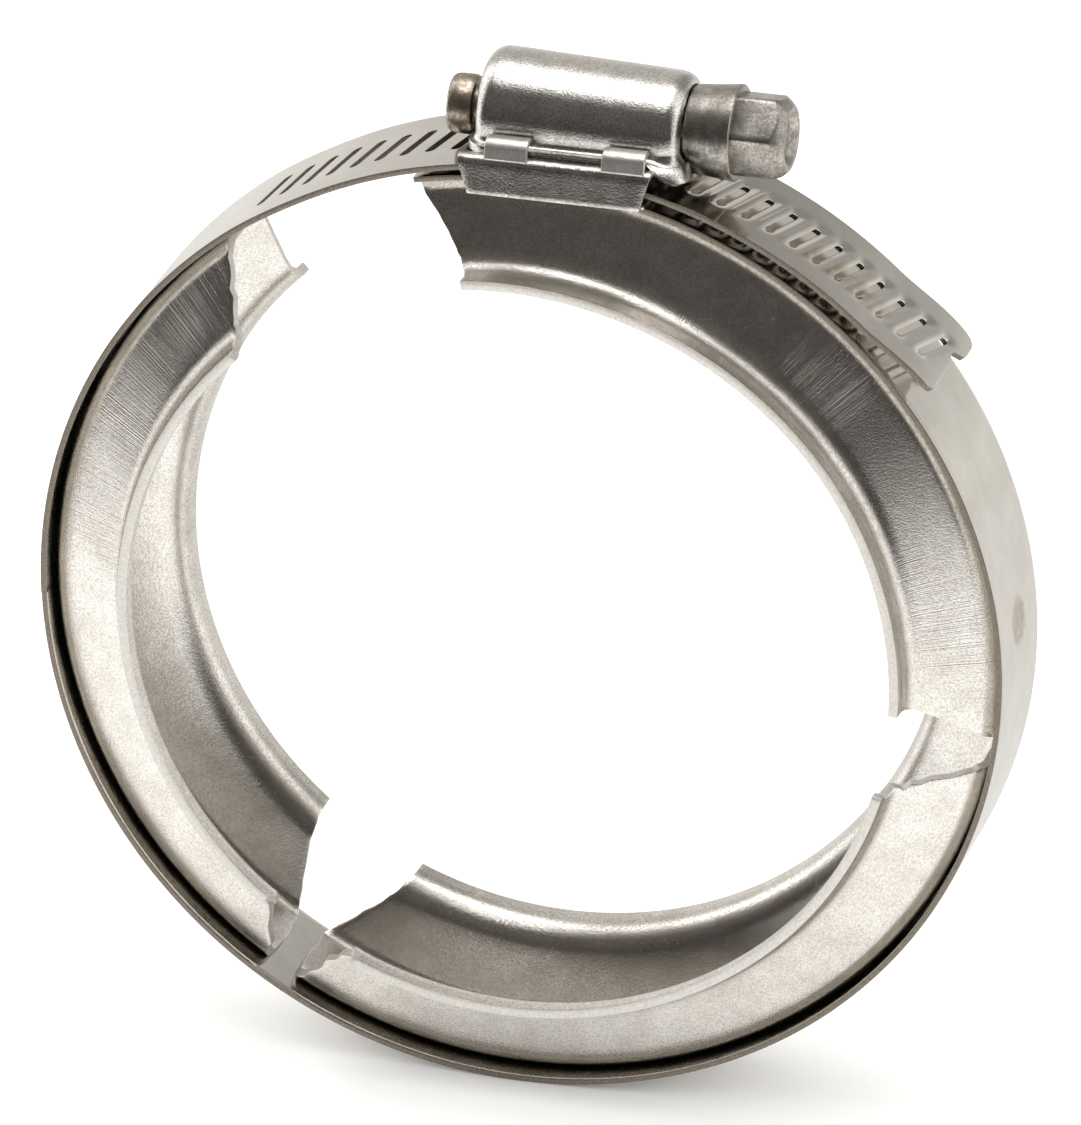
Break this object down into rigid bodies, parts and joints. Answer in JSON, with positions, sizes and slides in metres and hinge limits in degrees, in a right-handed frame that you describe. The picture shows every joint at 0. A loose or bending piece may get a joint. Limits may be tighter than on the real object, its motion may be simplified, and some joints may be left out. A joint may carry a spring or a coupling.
{
  "type": "V-retainer band clamp",
  "caption": "Worm-drive band clamp with V-section retainers that draws two flanged pipe ends together.",
  "frame": {"origin": "centre of the ring, at the middle of the band's width", "axes": "+Y along the ring's axis, +Z towards the screw, +X along the screw towards its hex head"},
  "size_m": [0.098, 0.023, 0.1075],
  "materials": {
    "band_steel": "satin rolled stainless strip with bright sheared edges",
    "retainer_steel": "roll-formed stainless sheet with fine grain and bright bend lines",
    "housing_steel": "pressed stainless sheet, bright and finely grained",
    "screw_steel": "dull plated steel, mottled"
  },
  "bodies": {
    "housing": {"retainer_top": "retainer_steel", "band_fixed_section": "band_steel", "housing_saddle": "housing_steel", "housing_dome": "housing_steel"},
    "screw": {"worm_screw": "screw_steel"},
    "lower_segment": {"retainer_lower": "retainer_steel", "band_lower_section": "band_steel"},
    "left_segment": {"retainer_left": "retainer_steel", "band_left_section": "band_steel"},
    "strap": {"slotted_strap": "band_steel"}
  },
  "joints": [
    {"name": "screw_turn", "type": "hinge", "parent": "housing", "child": "screw", "pos_m": [0.006, 0, 0.05245], "axis": [-1, 0, 0], "range_deg": [-1440, 1440]},
    {"name": "right_gap_flex", "type": "hinge", "parent": "housing", "child": "lower_segment", "pos_m": [0.04809, 0, -0.0077], "axis": [0, 1, 0], "range_deg": [-5, 5]},
    {"name": "lower_gap_flex", "type": "hinge", "parent": "lower_segment", "child": "left_segment", "pos_m": [-0.02552, 0, -0.04148], "axis": [0, 1, 0], "range_deg": [-3.5, 3.5]},
    {"name": "left_gap_flex", "type": "hinge", "parent": "left_segment", "child": "strap", "pos_m": [-0.0289, 0, 0.0392], "axis": [0, 1, 0], "range_deg": [-4.7, 4.7]}
  ],
  "couplings": [
    {"joint": "right_gap_flex", "follows": "screw_turn", "ratio": 0.0033091},
    {"joint": "lower_gap_flex", "follows": "screw_turn", "ratio": 0.0022751},
    {"joint": "left_gap_flex", "follows": "screw_turn", "ratio": 0.0030577}
  ]
}
